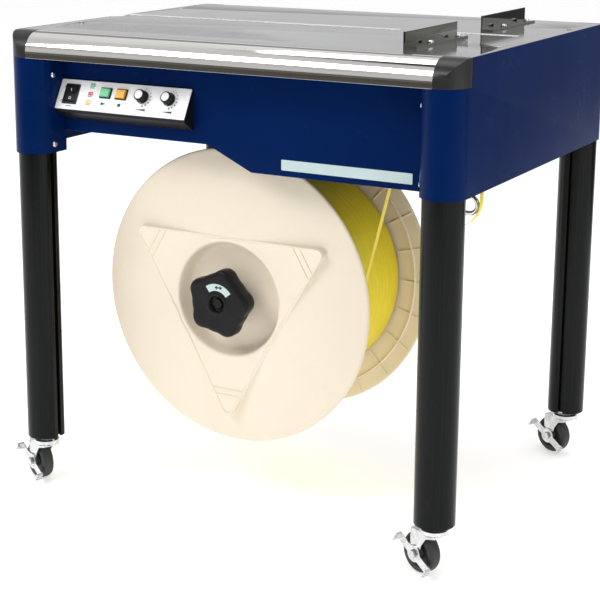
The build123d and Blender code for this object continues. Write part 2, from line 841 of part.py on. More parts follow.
def make_flange(name, mirrored):
    """Moulded flange: shallow cone with a dished hub and a raised triangular plateau."""
    front = reel_front_y - plateau
    outward = -1 if mirrored else 1
    hub = Vector(body_x + reel_x, 0, reel_z)
    inner_cut = 94.5
    with BuildPart() as flange:
        with BuildSketch(Plane(hub, x_dir=(1, 0, 0), z_dir=(0, 0, 1))):
            with BuildLine():
                Polyline(*[(radius, -depth) for radius, depth in flange_profile(mirrored)], close=True)
            make_face()
        revolve(axis=Axis(hub, (0, 1, 0)))
        with BuildSketch(reel_plane(reel_depth(front, mirrored))):
            add(triangle(triangle_reach, 10))
            Circle(inner_cut, mode=Mode.SUBTRACT)
        extrude(amount=-outward * (plateau - 4))
        with BuildSketch(reel_plane(reel_depth(front, mirrored))):
            add(triangle(triangle_reach, 10))
            add(triangle(triangle_reach - 5, 8), mode=Mode.SUBTRACT)
            Circle(inner_cut + 3, mode=Mode.SUBTRACT)
        extrude(amount=outward * 1.4)
        with BuildSketch(reel_plane(reel_depth(front, mirrored))):
            for turn in (-90, 30, 150):
                for reach in (150, 160):
                    spot = (reach * cos(radians(turn)), reach * sin(radians(turn)))
                    with Locations(Location(spot, turn)):
                        Rectangle(2.5, 2 * (triangle_reach - reach) * 0.577 - 4)
        extrude(amount=outward * 1.4)
        with BuildSketch(reel_plane(reel_depth(reel_front_y + shell - 1, mirrored))):
            Circle(213.2)
            Circle(211, mode=Mode.SUBTRACT)
            for turn in range(0, 360, 15):
                spot = (211 * cos(radians(turn)), 211 * sin(radians(turn)))
                with Locations(Location(spot, turn)):
                    Rectangle(50, 2.2)
        extrude(amount=-outward * 3.2)
    write(flange, name)


def make_reel():
    mid = Vector(body_x + reel_x, 0, reel_z)
    make_flange("reel_front_flange", False)
    make_flange("reel_rear_flange", True)
    core_front = reel_front_y - 4 + 0.2
    core_rear = reel_depth(core_front, True)
    for name, outer, inner, start, stop in (
        ("reel_core", core_radius - 0.2, core_radius - 4, core_front, core_rear),
        ("strap_roll", roll_radius, core_radius, reel_front_y + 1.0, reel_rear_y - 1.0),
    ):
        with BuildPart() as tube:
            with BuildSketch(reel_plane(stop)):
                Circle(outer)
                Circle(inner, mode=Mode.SUBTRACT)
            extrude(amount=stop - start)
        write(tube, name)
    with BuildPart() as knob:
        with BuildSketch(reel_plane(knob_front + knob_height)):
            Circle(49)
            with PolarLocations(38, 5, start_angle=knob_turn):
                Circle(18)
            with PolarLocations(66, 5, start_angle=knob_turn + 36):
                Circle(15.5, mode=Mode.SUBTRACT)
        extrude(amount=knob_height)
        chamfer(faces().sort_by(Axis.Y)[0].edges(), 3)
        with BuildSketch(reel_plane(knob_front + knob_height)):
            Circle(26)
        extrude(amount=-30)
        with BuildSketch(reel_plane(knob_front)):
            Circle(13)
        extrude(amount=-9, mode=Mode.SUBTRACT)
        with BuildSketch(reel_plane(knob_front + 60)):
            Circle(spindle_radius + gap)
        extrude(amount=42, mode=Mode.SUBTRACT)
    write(knob, "reel_knob")


bracket_front = 72.0


def make_reel_support():
    """Hanger plate bolted under the base plate, and the spindle that it carries."""
    with BuildPart() as bracket:
        with BuildSketch(facing_front(bracket_front + 6)):
            with BuildLine():
                Polyline(
                    (reel_x - 70, base_z - 6), (reel_x + 70, base_z - 6), (reel_x + 34, reel_z - 20),
                    (reel_x - 34, reel_z - 20), close=True,
                )
            make_face()
            with Locations((reel_x, reel_z)):
                Circle(38)
                Circle(spindle_radius + 0.1, mode=Mode.SUBTRACT)
        extrude(amount=6)
        with BuildSketch(level(base_z - 11)):
            with Locations((reel_x, bracket_front + 25)):
                Rectangle(140, 50)
        extrude(amount=6)
    write(bracket, "reel_bracket")
    centre = (body_x + reel_x, 0, reel_z)
    stages = [(-bracket_front - 14, 8, 18), (-bracket_front - 6, 6, spindle_radius), (-bracket_front, 10, 22),
              (-bracket_front + 10, 284, spindle_radius)]
    group("reel_spindle", [turned(centre, (0, -1, 0), stages)])


def make_strap_lead():
    """Flat strap from the roll, over a bend inside the body, to a slack loop and the feed rollers."""
    lean = 76.0
    radius = roll_radius + 0.5 + strap_thickness / 2
    leave = (
        reel_x + radius * sin(radians(lean)),
        reel_z - radius * cos(radians(lean)),
    )
    bend_radius = 14.0
    loop_radius = 45.0
    loop_left = feed_x + feed_radius + gap + strap_thickness / 2 - 2 * loop_radius
    over = 600.0
    apex = leave[0] + (over - leave[1]) / (sin(radians(lean)) / cos(radians(lean)))
    loop_centre = 530.0
    with BuildPart() as lead:
        with BuildSketch(facing_front(strap_y + strap_width / 2)):
            with BuildLine():
                FilletPolyline(leave, (apex, over), (loop_left, over), (loop_left, loop_centre), radius=bend_radius)
                RadiusArc((loop_left, loop_centre), (loop_left + 2 * loop_radius, loop_centre), -loop_radius)
                Line((loop_left + 2 * loop_radius, loop_centre), (loop_left + 2 * loop_radius, 700))
            trace(line_width=strap_thickness)
        extrude(amount=strap_width)
    write(lead, "strap_lead")


def make_guide_rod():
    """Round rod bent to an eye that holds the slack loop clear of the leg."""
    rod = 3.5
    bend = 12.5
    tip = feed_x + feed_radius - 1.8 - rod
    height = 521.0
    with BuildPart() as guide:
        with BuildLine(facing_front(strap_y)):
            low = Line((tip - 60, height - bend), (tip - bend, height - bend))
            turn = JernArc(low @ 1, low % 1, bend, 180)
            high = Line(turn @ 1, (tip - 44, height + bend))
            up = JernArc(high @ 1, high % 1, 10, -90)
            Line(up @ 1, (up @ 1) + Vector(0, 0, 84))
        with BuildSketch(Plane(low @ 0, z_dir=low % 0)):
            Circle(rod)
        sweep()
        with BuildSketch(level(base_z - base_thickness - 4)):
            with Locations((tip - 54, strap_y + 18)):
                Rectangle(30, 60)
        extrude(amount=4)
    write(guide, "strap_guide_rod")


# ---------------------------------------------------------------- power inlet
gland_x = 260.0
gland_z = 640.0


def make_gland():
    """Cable gland in the rear panel."""
    stages = [(panel_y - 12, 40, 8.0), (panel_y - 8, 6, 13), (panel_y + 0.3, 5, 14), (panel_y + 5.3, 16, 11)]
    with BuildPart() as gland:
        add(turned((body_x + gland_x, 0, gland_z), (0, 1, 0), stages))
        with BuildSketch(facing_front(panel_y + 30)):
            with Locations((gland_x, gland_z)):
                Circle(4.5)
        extrude(amount=60, mode=Mode.SUBTRACT)
    write(gland, "cable_gland")


make_legs()
make_leg_end_plugs()
make_casters()
make_side_cover("left", -1)
make_side_cover("right", 1)
make_panel("front", -1, front_outline)
make_panel("rear", 1, rear_outline)
make_nose_bars()
make_corner_caps()
make_table_plate("front", -1)
make_table_plate("rear", 1)
make_strap_chute()
make_stopper("front", stopper_ends[0])
make_stopper("rear", stopper_ends[1])
make_screws()
make_frame_rails()
make_mechanism_base()
make_drive()
make_sealing_head()
make_feed()
make_control_box()
make_control_bezels()
make_controls()
make_reel()
make_reel_support()
make_strap_lead()
make_guide_rod()
make_gland()
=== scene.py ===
import json
from math import atan2, cos, degrees, pi, radians, sin, sqrt

import bmesh
import bpy
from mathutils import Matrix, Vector

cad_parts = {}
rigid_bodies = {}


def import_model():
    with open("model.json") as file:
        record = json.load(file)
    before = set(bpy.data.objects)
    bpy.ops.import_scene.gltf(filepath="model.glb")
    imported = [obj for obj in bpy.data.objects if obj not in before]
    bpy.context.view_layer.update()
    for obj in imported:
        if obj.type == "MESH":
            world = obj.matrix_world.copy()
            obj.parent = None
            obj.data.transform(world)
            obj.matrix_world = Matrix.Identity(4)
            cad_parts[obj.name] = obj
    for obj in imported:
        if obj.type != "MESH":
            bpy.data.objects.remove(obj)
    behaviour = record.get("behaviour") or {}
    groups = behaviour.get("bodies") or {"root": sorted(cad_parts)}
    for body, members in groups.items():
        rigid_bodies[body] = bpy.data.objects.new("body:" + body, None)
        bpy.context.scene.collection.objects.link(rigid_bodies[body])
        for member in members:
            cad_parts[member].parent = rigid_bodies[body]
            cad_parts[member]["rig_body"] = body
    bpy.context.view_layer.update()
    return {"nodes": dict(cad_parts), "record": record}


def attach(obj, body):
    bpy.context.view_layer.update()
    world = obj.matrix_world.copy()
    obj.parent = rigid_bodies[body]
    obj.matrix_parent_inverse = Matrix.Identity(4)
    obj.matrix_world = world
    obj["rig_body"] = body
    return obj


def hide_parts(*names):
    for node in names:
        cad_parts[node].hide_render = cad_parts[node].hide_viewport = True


# Looks of the strapping machine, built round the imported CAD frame. Meshes are in metres. Places on the
# machine are given in millimetres and go through at(), reel_point() or on_face().
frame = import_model()
nodes = frame["nodes"]
bodies_of = {node: obj["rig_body"] for node, obj in nodes.items()}
slots_of = {part["node"]: part["material_slot"] for part in frame["record"]["subparts"]}
MM = 0.001
body_x = 14.7  # the middle of the body, in the frame's own x
corners = ("front_left", "front_right", "rear_left", "rear_right")


def at(x, y, z):
    """A point given in millimetres from the middle of the body, on the floor."""
    return Vector(((x + body_x) * MM, y * MM, z * MM))


# ---------------------------------------------------------------- materials
class Finish:
    """A Principled material with helpers for procedural colour, roughness and relief."""

    def __init__(self, name, roughness, metallic=0.0, **sockets):
        self.material = bpy.data.materials.new(name)
        self.material.use_nodes = True
        self.tree = self.material.node_tree
        self.shader = self.tree.nodes["Principled BSDF"]
        self.shader.inputs["Roughness"].default_value = roughness
        self.shader.inputs["Metallic"].default_value = metallic
        for socket, value in sockets.items():
            self.shader.inputs[socket.replace("_", " ")].default_value = value
        self.coordinates = self.tree.nodes.new("ShaderNodeTexCoord").outputs["Object"]
        self.relief = None

    def link(self, source, target):
        self.tree.links.new(source, target)

    def stretched(self, stretch):
        mapping = self.tree.nodes.new("ShaderNodeMapping")
        mapping.inputs["Scale"].default_value = stretch
        self.link(self.coordinates, mapping.inputs["Vector"])
        return mapping.outputs["Vector"]

    def noise(self, scale, detail, stretch=(1, 1, 1), distortion=0.0):
        node = self.tree.nodes.new("ShaderNodeTexNoise")
        node.inputs["Scale"].default_value = scale
        node.inputs["Detail"].default_value = detail
        node.inputs["Distortion"].default_value = distortion
        self.link(self.stretched(stretch), node.inputs["Vector"])
        return node.outputs["Fac"]

    def cells(self, scale):
        node = self.tree.nodes.new("ShaderNodeTexVoronoi")
        node.inputs["Scale"].default_value = scale
        self.link(self.coordinates, node.inputs["Vector"])
        return node.outputs["Distance"]

    def ramp(self, factor, low, high):
        """The factor's range low to high spread to 0 to 1."""
        node = self.tree.nodes.new("ShaderNodeMapRange")
        node.inputs["From Min"].default_value = low
        node.inputs["From Max"].default_value = high
        self.link(factor, node.inputs["Value"])
        return node.outputs["Result"]

    def product(self, first, second):
        node = self.tree.nodes.new("ShaderNodeMath")
        node.operation = "MULTIPLY"
        self.link(first, node.inputs[0])
        self.link(second, node.inputs[1])
        return node.outputs["Value"]

    def mix(self, factor, first, second):
        """A colour between two: each is a colour or another colour output."""
        node = self.tree.nodes.new("ShaderNodeMix")
        node.data_type = "RGBA"
        self.link(factor, node.inputs[0])
        for socket, value in ((node.inputs[6], first), (node.inputs[7], second)):
            if isinstance(value, bpy.types.NodeSocket):
                self.link(value, socket)
            else:
                socket.default_value = (*value, 1.0)
        return node.outputs[2]

    def colour(self, output):
        self.link(output, self.shader.inputs["Base Color"])
        return self

    def rough(self, factor, low, high):
        node = self.tree.nodes.new("ShaderNodeMapRange")
        node.inputs["To Min"].default_value = low
        node.inputs["To Max"].default_value = high
        self.link(factor, node.inputs["Value"])
        self.link(node.outputs["Result"], self.shader.inputs["Roughness"])
        return self

    def bump(self, height, depth):
        """Relief of the given depth in metres, added to any before it."""
        node = self.tree.nodes.new("ShaderNodeBump")
        node.inputs["Strength"].default_value = 1.0
        node.inputs["Distance"].default_value = depth
        self.link(height, node.inputs["Height"])
        if self.relief:
            self.link(self.relief, node.inputs["Normal"])
        self.relief = node.outputs["Normal"]
        self.link(self.relief, self.shader.inputs["Normal"])
        return self


def paint(name, deep, light, roughness, tint=(1, 1, 1), shine=1.45):
    """Powder coat: faint orange peel, slow change of tone, sparse dust and a few rubs."""
    finish = Finish(name, roughness, IOR=shine, Specular_Tint=(*tint, 1))
    tone = finish.mix(finish.ramp(finish.noise(5, 4), 0.3, 0.7), deep, light)
    dust = finish.ramp(finish.noise(700, 2), 0.72, 0.85)
    tone = finish.mix(dust, tone, [channel * 1.5 + 0.004 for channel in light])
    rubs = finish.product(finish.ramp(finish.noise(46, 8, (1, 1, 0.25)), 0.66, 0.8),
                          finish.ramp(finish.noise(6, 2), 0.45, 0.7))
    finish.colour(finish.mix(rubs, tone, [channel * 1.25 + 0.003 for channel in light]))
    finish.rough(finish.noise(24, 5, distortion=0.6), roughness - 0.06, roughness + 0.08)
    finish.bump(finish.noise(420, 2), 0.00002)
    return finish.material


def metal(name, dark, light, roughness, stretch, scale, depth=0.00002, smudge=0.08):
    """Bare metal with fine lines along the direction of least stretch, and smudges."""
    finish = Finish(name, roughness, metallic=1.0)
    lines = finish.noise(scale, 6, stretch)
    finish.colour(finish.mix(finish.ramp(lines, 0.3, 0.7), dark, light))
    finish.rough(finish.noise(14, 5, distortion=1.0), max(0.02, roughness - smudge), roughness + smudge)
    finish.bump(lines, depth)
    return finish.material


def plastic(name, dark, light, roughness, grain=900, depth=0.00004, **sockets):
    """Moulded plastic: fine spark texture and a slow change of tone."""
    finish = Finish(name, roughness, **sockets)
    tone = finish.mix(finish.ramp(finish.noise(18, 4), 0.3, 0.7), dark, light)
    finish.colour(tone)
    finish.rough(finish.noise(60, 4), roughness - 0.06, roughness + 0.09)
    finish.bump(finish.noise(grain, 2), depth)
    return finish.material


def leg_finish():
    """Black extrusion: drawn lines run up the leg, with small rubs."""
    finish = Finish("black_leg", 0.2, IOR=1.25)
    lines = finish.noise(420, 3, (1, 1, 0.012))
    tone = finish.mix(finish.ramp(lines, 0.35, 0.7), (0.0018, 0.0022, 0.0026), (0.005, 0.0055, 0.006))
    rubs = finish.ramp(finish.noise(150, 6, (1, 1, 0.3)), 0.7, 0.85)
    finish.colour(finish.mix(rubs, tone, (0.018, 0.018, 0.019)))
    finish.rough(finish.noise(30, 5), 0.13, 0.28)
    finish.bump(lines, 0.00002)
    return finish.material


def table_finish():
    """Dark satin sheet: brushed front to back, with hair scratches and wiped smears."""
    finish = Finish("table_sheet", 0.08)
    brushed = finish.noise(210, 5, (1, 0.02, 1))
    tone = finish.mix(finish.ramp(brushed, 0.3, 0.7), (0.022, 0.023, 0.029), (0.036, 0.037, 0.044))
    smear = finish.ramp(finish.noise(7, 5, (1.6, 0.35, 1), 1.2), 0.4, 0.75)
    tone = finish.mix(smear, tone, (0.05, 0.052, 0.06))
    scratches = finish.ramp(finish.noise(900, 2, (0.02, 1, 1)), 0.7, 0.78)
    finish.colour(finish.mix(scratches, tone, (0.09, 0.09, 0.1)))
    finish.rough(finish.noise(9, 6, (1.5, 0.4, 1), 1.0), 0.04, 0.15)
    finish.bump(brushed, 0.000008)
    return finish.material


def ivory_finish():
    """Moulded reel plastic: warm ivory, a soft sheen, faint flow marks and a little grime."""
    finish = Finish("reel_ivory", 0.42, Subsurface_Weight=0.08, Subsurface_Scale=0.004)
    tone = finish.mix(finish.ramp(finish.noise(4, 3, distortion=0.5), 0.3, 0.7),
                      (0.815, 0.72, 0.575), (0.845, 0.755, 0.615))
    grime = finish.ramp(finish.noise(260, 6), 0.64, 0.9)
    finish.colour(finish.mix(grime, tone, (0.7, 0.6, 0.46)))
    finish.rough(finish.noise(40, 5), 0.36, 0.5)
    finish.bump(finish.noise(420, 3), 0.00004)
    return finish.material


def strap_finish(name, dark, light):
    """Polypropylene strap: embossed, glossy, the tone changing from turn to turn."""
    finish = Finish(name, 0.32, Subsurface_Weight=0.05, Subsurface_Scale=0.002)
    tone = finish.mix(finish.ramp(finish.noise(240, 3, (0.1, 1, 0.1)), 0.3, 0.7), dark, light)
    finish.colour(tone)
    finish.rough(finish.noise(120, 4), 0.26, 0.42)
    finish.bump(finish.cells(520), 0.00008)
    return finish.material


def rubber_finish():
    """Wheel rubber: matt black, scuffed, with pale dust."""
    finish = Finish("black_rubber", 0.45)
    tone = finish.mix(finish.ramp(finish.noise(70, 5), 0.35, 0.75),
                      (0.010, 0.010, 0.011), (0.024, 0.024, 0.025))
    dust = finish.ramp(finish.noise(300, 6), 0.62, 0.85)
    finish.colour(finish.mix(dust, tone, (0.07, 0.068, 0.064)))
    finish.rough(finish.noise(90, 4), 0.34, 0.62)
    finish.bump(finish.noise(700, 3), 0.00008)
    return finish.material


def glow_finish(name, dark, light):
    """A tinted lens: a mottled tone under a dimpled, coated surface."""
    finish = Finish(name, 0.18, Coat_Weight=0.5)
    finish.colour(finish.mix(finish.ramp(finish.noise(400, 2), 0.35, 0.65), dark, light))
    finish.bump(finish.cells(900), 0.00008)
    return finish.material


materials = {
    "blue_paint": paint("blue_paint", (0.0003, 0.0095, 0.062), (0.0007, 0.0125, 0.078), 0.24,
                        (0.3, 0.5, 1.0), 1.2),
    "black_anodised": leg_finish(),
    "polished_steel": metal("polished_steel", (0.70, 0.68, 0.65), (0.82, 0.80, 0.78), 0.06, (0.02, 1, 1), 260,
                            0.00001, 0.03),
    "table_laminate": table_finish(),
    "bright_steel": metal("bright_steel", (0.70, 0.70, 0.70), (0.86, 0.86, 0.85), 0.18, (0.03, 1, 1), 300),
    "zinc_steel": metal("zinc_steel", (0.56, 0.57, 0.58), (0.78, 0.79, 0.80), 0.22, (1, 1, 1), 110,
                        0.00004, 0.1),
    "black_plastic": plastic("black_plastic", (0.0045, 0.0045, 0.0055), (0.009, 0.009, 0.010), 0.34,
                             IOR=1.28),
    "wheel_rubber": rubber_finish(),
    "reel_plastic": ivory_finish(),
    "core_cardboard": plastic("core_board", (0.34, 0.24, 0.14), (0.45, 0.33, 0.2), 0.8, 260, 0.0002),
    "yellow_strap": strap_finish("yellow_strap", (0.76, 0.605, 0.011), (0.82, 0.67, 0.018)),
    "control_plate": plastic("control_plate", (0.86, 0.87, 0.88), (0.92, 0.93, 0.94), 0.3, 1500, 0.00002),
    "dark_paint": paint("dark_paint", (0.014, 0.015, 0.018), (0.022, 0.023, 0.026), 0.42),
    "pulley_alloy": metal("pulley_alloy", (0.62, 0.62, 0.63), (0.78, 0.78, 0.79), 0.3, (1, 1, 1), 200),
    "heater_steel": metal("heater_steel", (0.48, 0.45, 0.40), (0.62, 0.60, 0.57), 0.3, (1, 0.05, 1), 260),
    "lamp_lens": glow_finish("lamp_lens", (0.6, 0.35, 0.05), (0.9, 0.6, 0.1)),
    "green_button": plastic("green_button", (0.10, 0.50, 0.25), (0.15, 0.62, 0.32), 0.25, 600, 0.00003),
    "amber_button": plastic("amber_button", (0.86, 0.40, 0.01), (0.95, 0.50, 0.03), 0.25, 600, 0.00003),
}
white_cap = plastic("white_cap", (0.76, 0.77, 0.78), (0.84, 0.85, 0.86), 0.35, 1200, 0.00002)
pale_print = plastic("pale_print", (0.47, 0.58, 0.58), (0.53, 0.65, 0.65), 0.45, 1200, 0.00002)
dark_print = plastic("dark_print", (0.02, 0.022, 0.03), (0.035, 0.037, 0.045), 0.5, 1200, 0.00002)
cap_black = plastic("cap_black", (0.012, 0.012, 0.013), (0.02, 0.02, 0.021), 0.3, 700, 0.00005, IOR=1.4)
# Polished stoppers: the dark olive base colour is a painted dark reflection of the surroundings, not the
# steel's own tone.
stopper_painted_dark_reflection = metal("stopper_painted_dark_reflection", (0.135, 0.135, 0.115), (0.17, 0.17, 0.15), 0.05, (1, 0.03, 1), 260,
                      0.00001, 0.03)
# Painted highlights: white strips copy the bright lines along the strap slot's edges and the table's left
# edge.
painted_edge_highlight = plastic("painted_edge_highlight", (0.80, 0.80, 0.79), (0.9, 0.9, 0.89), 0.3, 900, 0.00002)
lamp_colours = {
    "green": glow_finish("lamp_green", (0.10, 0.42, 0.24), (0.25, 0.62, 0.42)),
    "red": glow_finish("lamp_red", (0.62, 0.05, 0.08), (0.85, 0.16, 0.2)),
    "yellow": glow_finish("lamp_yellow", (0.80, 0.55, 0.08), (0.92, 0.72, 0.2)),
}


# ---------------------------------------------------------------- mesh helpers
sharp_angle = 30.0


def place(obj, node, replace=True):
    """Make a piece ride its CAD node's body and, unless it is an addition, stand for it."""
    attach(obj, bodies_of[node])
    if replace:
        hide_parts(node)


def mesh_object(name, points, faces, material, smooth_angle=35.0):
    """A new object from points and faces, shaded smooth up to the angle."""
    mesh = bpy.data.meshes.new(name)
    mesh.from_pydata([tuple(point) for point in points], [], faces)
    build = bmesh.new()
    build.from_mesh(mesh)
    bmesh.ops.recalc_face_normals(build, faces=build.faces)
    build.to_mesh(mesh)
    build.free()
    obj = bpy.data.objects.new(name, mesh)
    bpy.context.scene.collection.objects.link(obj)
    obj.data.materials.append(material)
    mesh.shade_smooth()
    mesh.set_sharp_from_angle(angle=radians(smooth_angle))
    return obj


def bevelled(obj, width):
    """Round the object's sharp edges."""
    modifier = obj.modifiers.new("edges", "BEVEL")
    modifier.width = width
    modifier.segments = 2
    modifier.limit_method = "ANGLE"
    modifier.angle_limit = radians(sharp_angle)
    modifier.use_clamp_overlap = True
    modifier.harden_normals = True
    return obj


def soften(node, width, material=None):
    """A CAD node's own shape with its sharp edges rounded."""
    mesh = nodes[node].data.copy()
    build = bmesh.new()
    build.from_mesh(mesh)
    bmesh.ops.remove_doubles(build, verts=build.verts, dist=1e-6)
    bmesh.ops.dissolve_limit(build, angle_limit=radians(0.6), verts=build.verts, edges=build.edges)
    build.to_mesh(mesh)
    build.free()
    mesh.shade_smooth()
    mesh.set_sharp_from_angle(angle=radians(sharp_angle))
    obj = bpy.data.objects.new(f"{node}_shell", mesh)
    bpy.context.scene.collection.objects.link(obj)
    obj.data.materials.clear()
    obj.data.materials.append(material or materials[slots_of[node]])
    place(bevelled(obj, width), node)


def skin(name, rings, material, loop=False, smooth_angle=35.0):
    """Closed rings of equal length joined into one surface, capped at both ends unless it is a loop."""
    count = len(rings[0])
    points = [point for ring in rings for point in ring]
    faces = []
    for row in range(len(rings) if loop else len(rings) - 1):
        here, there = row * count, (row + 1) % len(rings) * count
        faces += [(here + i, here + (i + 1) % count, there + (i + 1) % count, there + i)
                  for i in range(count)]
    if not loop:
        faces.append(tuple(range(count)))
        faces.append(tuple(len(points) - count + i for i in range(count)))
    return mesh_object(name, points, faces, material, smooth_angle)


def lathe(name, centre, axis, profile, material, steps, outline=None, loop=False):
    """A turned shape: profile points are (along, radius) and outline(turn, radius) reshapes the radius."""
    axis = Vector(axis).normalized()
    side = Vector((1, 0, 0)) if abs(axis.x) < 0.5 else Vector((0, 1, 0))
    up = axis.cross(side).normalized()
    rings = []
    for along, radius in profile:
        ring = []
        for step in range(steps):
            turn = 2 * pi * step / steps
            reach = (outline(turn, radius) if outline else radius) * MM
            spoke = side * cos(turn) * reach + up * sin(turn) * reach
            ring.append(Vector(centre) + axis * along * MM + spoke)
        rings.append(ring)
    return skin(name, rings, material, loop)


def slab(name, outline, low, high, put, material):
    """A thin plate between two heights: put maps (x, y, height) on a face to the frame."""
    return skin(name, [[put(x, y, height) for x, y in outline] for height in (low, high)], material)


def bars(name, boxes, put, material, round_edge):
    """Several bars as one mesh: each box is eight (x, y, height) corners, lower four first."""
    points, faces = [], []
    for box in boxes:
        first = len(points)
        points += [put(*corner) for corner in box]
        faces += [tuple(first + i for i in face) for face in
                  ((0, 1, 2, 3), (4, 5, 6, 7), (0, 1, 5, 4), (1, 2, 6, 5), (2, 3, 7, 6), (3, 0, 4, 7))]
    return bevelled(mesh_object(name, points, faces, material), round_edge * MM)


def join(name, pieces):
    """Several meshes as one object, each with its own material."""
    bpy.ops.object.select_all(action="DESELECT")
    for piece in pieces:
        piece.select_set(True)
    bpy.context.view_layer.objects.active = pieces[0]
    bpy.ops.object.join()
    pieces[0].name = name
    return pieces[0]


def arc(x, y, radius, start, stop, count):
    """Points on an arc, angles in degrees."""
    turns = [radians(start + (stop - start) * i / (count - 1)) for i in range(count)]
    return [(x + radius * cos(turn), y + radius * sin(turn)) for turn in turns]


def rounded_box(x, y, width, height, radius, count=5):
    """Outline of a rectangle about (x, y) with rounded corners."""
    across, along = width / 2 - radius, height / 2 - radius
    outline = []
    for sx, sy, start in ((1, 1, 0), (-1, 1, 90), (-1, -1, 180), (1, -1, 270)):
        outline += arc(x + sx * across, y + sy * along, radius, start, start + 90, count)
    return outline


def ring_outline(x, y, outer, inner):
    """A flat ring, cut open by a gap too thin to see."""
    return arc(x, y, outer, 0, 350, 24) + arc(x, y, inner, 350, 0, 24)


# ---------------------------------------------------------------- carried-over nodes
for node, obj in nodes.items():
    obj.data.materials.clear()
    obj.data.materials.append(materials[slots_of[node]])

# Width of the rounding on each node's edges, in millimetres.
edge_widths = {
    "side_cover_left": 0.35, "side_cover_right": 0.35, "front_panel": 0.4, "rear_panel": 0.4,
    "table_plate_front": 0.4, "table_plate_rear": 0.4,
    "nose_bars": 0.4, "control_face": 0.35, "control_housing": 0.9,
    "control_bezels": 0.5, "feed_button": 0.5, "reset_button": 0.5, "rocker_switch": 0.7,
    "reel_bracket": 0.8, "press_head": 0.4, "cable_gland": 0.5, "reel_spindle": 0.6, "strap_chute": 0.25,
    "drive_motor": 0.8, "feed_motor": 0.6, "mechanism_base": 0.4, "heater_arm": 0.3,
}
for corner in corners:
    edge_widths[f"caster_fork_{corner}"] = 0.5
    edge_widths[f"brake_lever_{corner}"] = 0.5
    edge_widths[f"leg_{corner}"] = 0.5
for node, width in edge_widths.items():
    soften(node, width * MM)
soften("corner_caps", 0.8 * MM, cap_black)
# The stoppers take the steel whose dark base colour is a painted reflection.
for node in ("stopper_front", "stopper_rear"):
    soften(node, 0.4 * MM, stopper_painted_dark_reflection)

# ---------------------------------------------------------------- reel flanges
reel_x, reel_z = -41.0, 345.0
plateau = 18.0  # height of the level middle above the rim
knee_start, knee_end, cone_foot = 100.0, 112.0, 232.0
triangle_side = 101.5
tip_centre, tip_radius = 183.0, 10.0
tip_turns = (-90, 30, 150)
rib_reaches, rib_spread, rib_half = (150, 160), 0.577, 1.3
web_count, web_start, web_end, web_half = 24, 186, 236.5, 1.1


def reel_point(y):
    """Maps (x, z, outward height) about the reel's axis, outward being away from the roll."""
    outward = -1 if y < 0 else 1
    return lambda x, z, height: at(reel_x + x, y + outward * height, reel_z + z)


def triangle_reach(turn):
    """Distance from the axis to the edge of the raised triangle, whose tips are rounded."""
    spread = abs((degrees(turn) + 90 + 60) % 120 - 60)
    if spread < degrees(atan2(tip_radius * sin(radians(60)), tip_centre + tip_radius / 2)):
        offset = tip_centre * sin(radians(spread))
        return tip_centre * cos(radians(spread)) + sqrt(tip_radius ** 2 - offset ** 2)
    return triangle_side / cos(radians(60 - spread))


def cone_height(radius):
    """The flange's outer surface: level near the hub, then falling to the rim, the knee rounded."""
    slope = plateau / (cone_foot - (knee_start + knee_end) / 2)
    if radius < knee_start:
        return plateau
    if radius < knee_end:
        return plateau - slope * (radius - knee_start) ** 2 / (2 * (knee_end - knee_start))
    return slope * (cone_foot - radius)


def flange_section(turn):
    """(radius, height) points from the bore over the outside and back along the inside."""
    edge = triangle_reach(turn)
    border = max(98.0, edge - 5.0)
    # the hub recess, its wall and the level middle
    section = [(13.2, -10), (30, -10), (56, -10), (78, -10), (82.5, -9.4), (85.6, -7.4), (87.4, -3.6),
               (89.0, 4), (90.4, 12), (91.4, 15.6), (92.8, 17.4), (94.8, 18), (96.2, 18), (border - 0.6, 18)]
    # the triangle's raised border
    section += [(border, 18), (border + 0.4, 18.3), (border + 1.0, 19.1), (border + 1.6, 19.4),
                (edge - 1.5, 19.4), (edge - 0.8, 19.0), (edge - 0.2, 18.0)]
    # a small fillet, then the cone
    for step, share in ((0.1, 0.86), (0.5, 0.4), (1.0, 0.16), (1.8, 0.04), (3.0, 0.0)):
        level = cone_height(edge + step)
        section.append((edge + step, level + share * (plateau - level)))
    count = 16
    for i in range(1, count + 1):
        radius = edge + 3 + (229 - edge - 3) * i / count
        section.append((radius, cone_height(radius)))
    # the rim, and back along the inside to the bore
    section += [(232, 0.1), (235, -0.3), (237.4, -0.9), (238.7, -2.0), (239, -3.4), (238.6, -4.8),
                (237, -5.5), (232, -3.6), (180, 3.8), (106, 14.4), (95, 14.4), (92.6, 12.5), (88.6, -4),
                (87, -11.5), (84, -13.5), (13.2, -13.5)]
    return section


def spokes(turn):
    """Directions outward and along the rim at a turn in degrees, as (x, z) on the reel."""
    turn = radians(turn)
    return (cos(turn), sin(turn)), (-sin(turn), cos(turn))


def tip_ribs():
    """Two short ribs across each tip of the triangle."""
    ribs = []
    for tip in tip_turns:
        out, along = spokes(tip)
        for reach in rib_reaches:
            half = (2 * triangle_side - reach) * rib_spread - 3
            corners_flat = ((-rib_half, -half), (rib_half, -half), (rib_half, half), (-rib_half, half))
            ribs.append([(out[0] * (reach + a) + along[0] * b, out[1] * (reach + a) + along[1] * b, height)
                         for height in (17.0, 19.5) for a, b in corners_flat])
    return ribs


def rim_webs():
    """Radial webs on the inside of the cone, near the rim."""
    sides = (-web_half, web_half, web_half, -web_half)
    webs = []
    for step in range(web_count):
        out, along = spokes(360 / web_count * step)
        foot = [(web_start, 3.4), (web_start, 3.4), (web_end, -3.6), (web_end, -3.6)]
        crest = [(web_start, -0.4), (web_start, -0.4), (web_end, -5.6), (web_end, -5.6)]
        webs.append([(out[0] * r + along[0] * side, out[1] * r + along[1] * side, height)
                     for group in (foot, crest) for (r, height), side in zip(group, sides)])
    return webs


